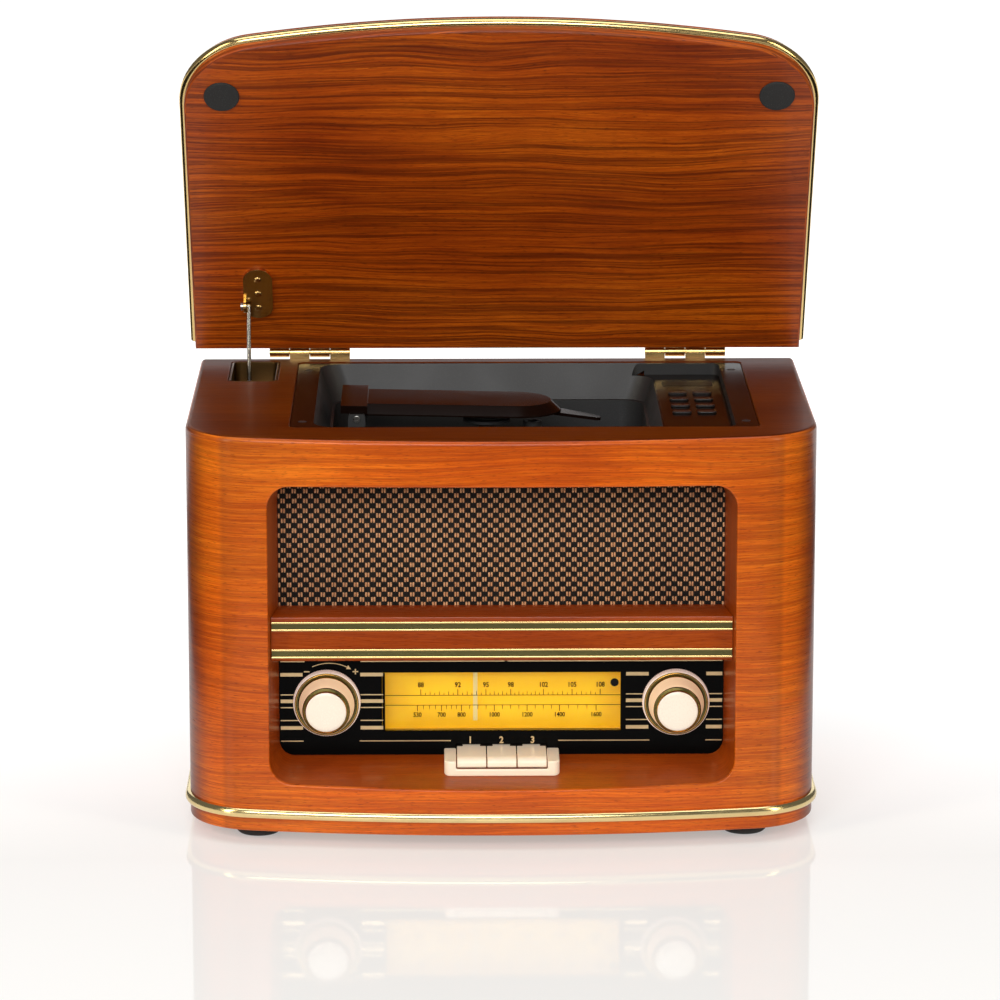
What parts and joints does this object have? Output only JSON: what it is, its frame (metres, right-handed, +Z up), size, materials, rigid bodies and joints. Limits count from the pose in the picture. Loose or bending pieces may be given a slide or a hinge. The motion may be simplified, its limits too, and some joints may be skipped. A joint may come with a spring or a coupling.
{
  "type": "stereo music centre",
  "caption": "Bowed wooden tabletop music centre: hinged lid over a disc deck, radio dial with knobs and piano keys, cloth-covered speakers.",
  "frame": {"origin": "on the table, under the middle of the bounding box of the open music centre", "axes": "+Z up, +X to the right of someone facing the dial, +Y from the bowed front to the back"},
  "size_m": [0.3724, 0.2564, 0.4611],
  "materials": {
    "veneer": "satin lacquered veneer",
    "stained_wood": "glossy stained lacquer",
    "brass": "polished, lightly aged",
    "black_rubber": "matte",
    "black_plastic": "fine texture",
    "deck_plastic": "fine texture, glossy rims",
    "dial_black": "gloss with gold lines",
    "dial_yellow": "backlit yellow scale",
    "cloth": "woven black and copper yarns",
    "cream_plastic": "satin",
    "brown_gloss": "high gloss",
    "dark_glass": "high gloss",
    "steel": "brushed",
    "hinge_steel": "dull",
    "board": "green solder mask",
    "paper_cone": "matte",
    "pointer_white": "satin"
  },
  "bodies": {
    "cabinet": {"cabinet_body": "veneer", "front_lining": "stained_wood", "bottom_board": "stained_wood", "feet": "black_rubber", "cabinet_screws": "steel", "base_strip": "brass", "rear_cover": "black_plastic", "hinge_leaves_body": "brass", "hinge_pins": "brass", "stay_pocket": "black_plastic", "stay_slot_plate": "hinge_steel", "baffle_board": "stained_wood", "grille_cloth": "cloth", "cross_bar": "stained_wood", "bar_strips": "brass", "dial_panel": "dial_black", "dial_window": "dial_yellow", "dial_backplate": "black_plastic", "key_surround": "cream_plastic", "key_switches": "black_plastic", "volume_pot": "steel", "tuning_capacitor": "steel", "speaker_frames": "steel", "speaker_cones": "paper_cone", "main_board": "board", "transformer": "steel", "mains_inlet": "black_plastic", "deck_tray": "deck_plastic", "control_panel": "brown_gloss", "display_window": "dark_glass", "cd_chassis": "steel", "spindle_motor": "steel", "sled_rails": "steel", "cover_pin": "steel"},
    "lid": {"lid_panel": "veneer", "lid_moulding": "brass", "lid_bumpers": "black_rubber", "hinge_leaves_lid": "brass", "stay_bracket": "brass", "lid_screws": "brass"},
    "stay": {"stay_rod": "steel"},
    "volume": {"volume_knob": "cream_plastic"},
    "tuning": {"tuning_knob": "cream_plastic", "tuning_drum": "black_plastic"},
    "pointer": {"dial_pointer": "pointer_white"},
    "key_left": {"key_1": "cream_plastic"},
    "key_middle": {"key_2": "cream_plastic"},
    "key_right": {"key_3": "cream_plastic"},
    "disc_cover": {"cd_cover": "brown_gloss", "clamp_puck": "black_plastic"},
    "hub": {"spindle_hub": "black_plastic"},
    "sled": {"laser_sled": "black_plastic"},
    "button_1": {"deck_button_1": "dark_glass"},
    "button_2": {"deck_button_2": "dark_glass"},
    "button_3": {"deck_button_3": "dark_glass"},
    "button_4": {"deck_button_4": "dark_glass"},
    "button_5": {"deck_button_5": "dark_glass"},
    "button_6": {"deck_button_6": "dark_glass"},
    "button_7": {"deck_button_7": "dark_glass"},
    "button_8": {"deck_button_8": "dark_glass"}
  },
  "joints": [
    {"name": "lid_hinge", "type": "hinge", "parent": "cabinet", "child": "lid", "pos_m": [0, 0.11828, 0.2415], "axis": [-1, 0, 0], "range_deg": [-59.5, 0]},
    {"name": "stay_pivot", "type": "hinge", "parent": "lid", "child": "stay", "pos_m": [-0.1495, 0.09033, 0.27517], "axis": [-1, 0, 0], "range_deg": [0, 45.81]},
    {"name": "volume_turn", "type": "hinge", "parent": "cabinet", "child": "volume", "pos_m": [-0.1005, -0.07717, 0.0745], "axis": [0, 1, 0], "range_deg": [-150, 150]},
    {"name": "tuning_turn", "type": "hinge", "parent": "cabinet", "child": "tuning", "pos_m": [0.1005, -0.07717, 0.0745], "axis": [0, 1, 0], "range_deg": [-190, 346]},
    {"name": "pointer_slide", "type": "slide", "parent": "cabinet", "child": "pointer", "axis": [1, 0, 0], "range_m": [-0.0365, 0.0665]},
    {"name": "cover_hinge", "type": "hinge", "parent": "cabinet", "child": "disc_cover", "pos_m": [-0.0835, 0.02228, 0.2273], "axis": [0, -1, 0], "range_deg": [0, 75]},
    {"name": "disc_spin", "type": "hinge", "parent": "cabinet", "child": "hub", "pos_m": [-0.0075, 0.02228, 0.2], "axis": [0, 0, 1], "continuous": true},
    {"name": "sled_slide", "type": "slide", "parent": "cabinet", "child": "sled", "axis": [1, 0, 0], "range_m": [0, 0.024]},
    {"name": "key_1_press", "type": "hinge", "parent": "cabinet", "child": "key_left", "pos_m": [-0.0173, -0.06517, 0.0467], "axis": [1, 0, 0], "range_deg": [0, 4], "stiffness_Nm_per_rad": 2, "springref_deg": -6.02},
    {"name": "key_2_press", "type": "hinge", "parent": "cabinet", "child": "key_middle", "pos_m": [0, -0.06517, 0.0467], "axis": [1, 0, 0], "range_deg": [0, 4], "stiffness_Nm_per_rad": 2, "springref_deg": -6.02},
    {"name": "key_3_press", "type": "hinge", "parent": "cabinet", "child": "key_right", "pos_m": [0.0173, -0.06517, 0.0467], "axis": [1, 0, 0], "range_deg": [0, 4], "stiffness_Nm_per_rad": 2, "springref_deg": -6.02},
    {"name": "button_1_press", "type": "slide", "parent": "cabinet", "child": "button_1", "axis": [0, 0, -1], "range_m": [0, 0.001], "stiffness_N_per_m": 600, "springref_m": -0.001},
    {"name": "button_2_press", "type": "slide", "parent": "cabinet", "child": "button_2", "axis": [0, 0, -1], "range_m": [0, 0.001], "stiffness_N_per_m": 600, "springref_m": -0.001},
    {"name": "button_3_press", "type": "slide", "parent": "cabinet", "child": "button_3", "axis": [0, 0, -1], "range_m": [0, 0.001], "stiffness_N_per_m": 600, "springref_m": -0.001},
    {"name": "button_4_press", "type": "slide", "parent": "cabinet", "child": "button_4", "axis": [0, 0, -1], "range_m": [0, 0.001], "stiffness_N_per_m": 600, "springref_m": -0.001},
    {"name": "button_5_press", "type": "slide", "parent": "cabinet", "child": "button_5", "axis": [0, 0, -1], "range_m": [0, 0.001], "stiffness_N_per_m": 600, "springref_m": -0.001},
    {"name": "button_6_press", "type": "slide", "parent": "cabinet", "child": "button_6", "axis": [0, 0, -1], "range_m": [0, 0.001], "stiffness_N_per_m": 600, "springref_m": -0.001},
    {"name": "button_7_press", "type": "slide", "parent": "cabinet", "child": "button_7", "axis": [0, 0, -1], "range_m": [0, 0.001], "stiffness_N_per_m": 600, "springref_m": -0.001},
    {"name": "button_8_press", "type": "slide", "parent": "cabinet", "child": "button_8", "axis": [0, 0, -1], "range_m": [0, 0.001], "stiffness_N_per_m": 600, "springref_m": -0.001}
  ],
  "couplings": [
    {"joint": "stay_pivot", "follows": "lid_hinge", "ratio": -0.77},
    {"joint": "pointer_slide", "follows": "tuning_turn", "m_per_rad": 0.011}
  ]
}
